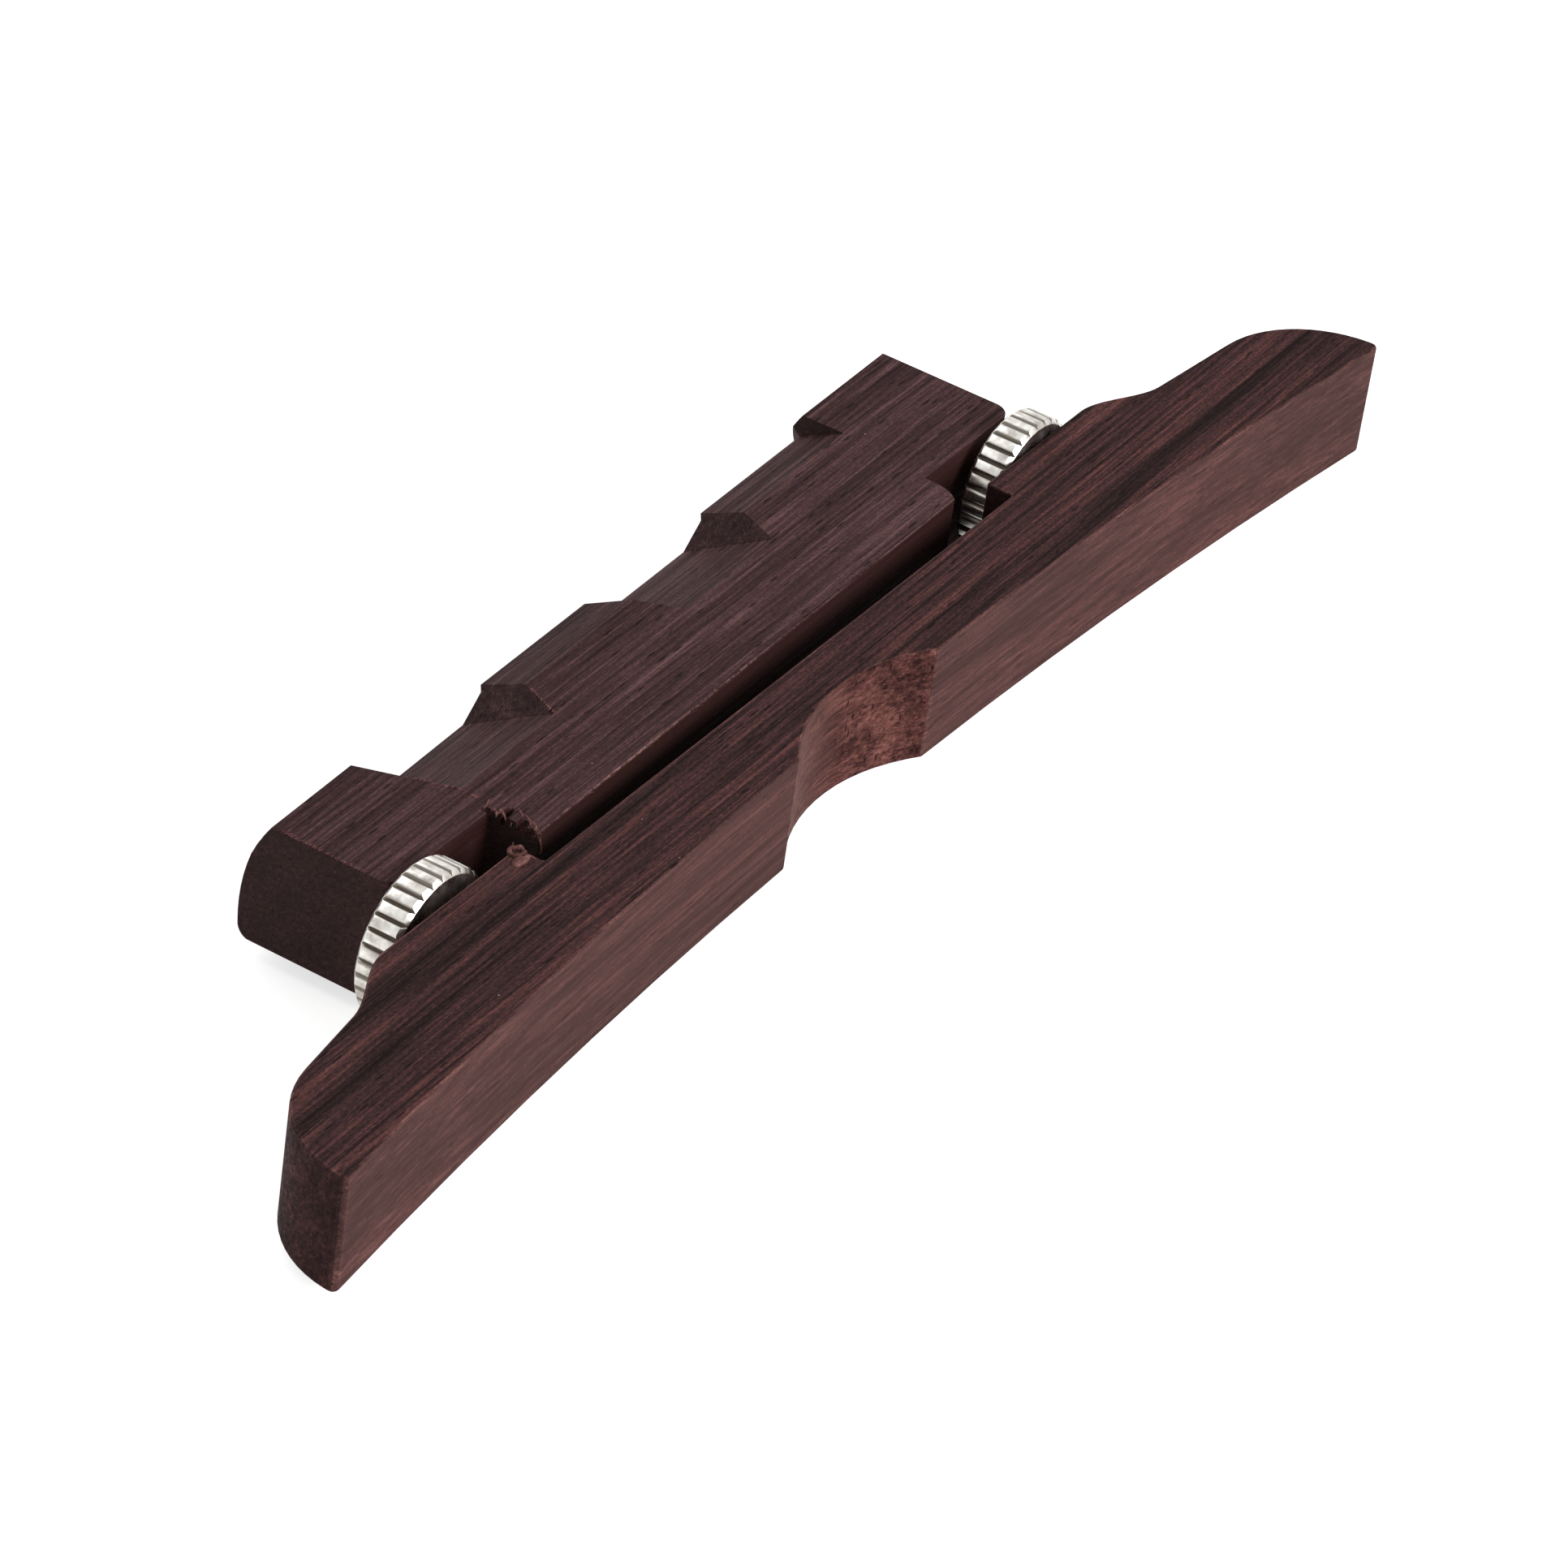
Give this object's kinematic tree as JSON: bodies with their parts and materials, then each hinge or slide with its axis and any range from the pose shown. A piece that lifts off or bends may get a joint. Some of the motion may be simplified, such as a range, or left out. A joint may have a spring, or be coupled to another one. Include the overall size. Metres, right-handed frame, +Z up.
{
  "type": "mandolin bridge",
  "caption": "Adjustable compensated floating bridge for a mandolin: a rosewood saddle riding on thumbwheels and threaded posts above an arched rosewood base",
  "frame": {"origin": "middle of the bounding box in X and Y, at the lowest point of the thumbwheel rims in Z", "axes": "the bridge lies on its side: +X along its length to the right end, +Y from the feet to the strings, +Z up out of the front face"},
  "size_m": [0.115, 0.025, 0.01],
  "materials": {
    "rosewood_base": "sawn and sanded rosewood, not polished, streaked along the length",
    "rosewood": "sawn and sanded dark rosewood, not polished, fine streaks along the length",
    "nickel": "bright nickel plating with a straight-fluted rim",
    "steel": "plain steel screw thread"
  },
  "bodies": {
    "base": {"base": "rosewood_base", "post_left": "steel", "post_right": "steel"},
    "saddle": {"saddle": "rosewood"},
    "thumbwheel_left": {"thumbwheel_left": "nickel"},
    "thumbwheel_right": {"thumbwheel_right": "nickel"}
  },
  "joints": [
    {"name": "saddle_lift", "type": "slide", "parent": "base", "child": "saddle", "axis": [0, 1, 0], "range_m": [0, 0.005]},
    {"name": "thumbwheel_left_spin", "type": "hinge", "parent": "saddle", "child": "thumbwheel_left", "pos_m": [-0.03275, -0.00035, 0.005], "axis": [0, 1, 0], "range_deg": [0, 3600]},
    {"name": "thumbwheel_right_spin", "type": "hinge", "parent": "saddle", "child": "thumbwheel_right", "pos_m": [0.03195, -0.00075, 0.005], "axis": [0, 1, 0], "range_deg": [0, 3600]}
  ],
  "couplings": [
    {"joint": "thumbwheel_left_spin", "follows": "saddle_lift", "rad_per_m": 12566},
    {"joint": "thumbwheel_right_spin", "follows": "saddle_lift", "rad_per_m": 12566}
  ]
}
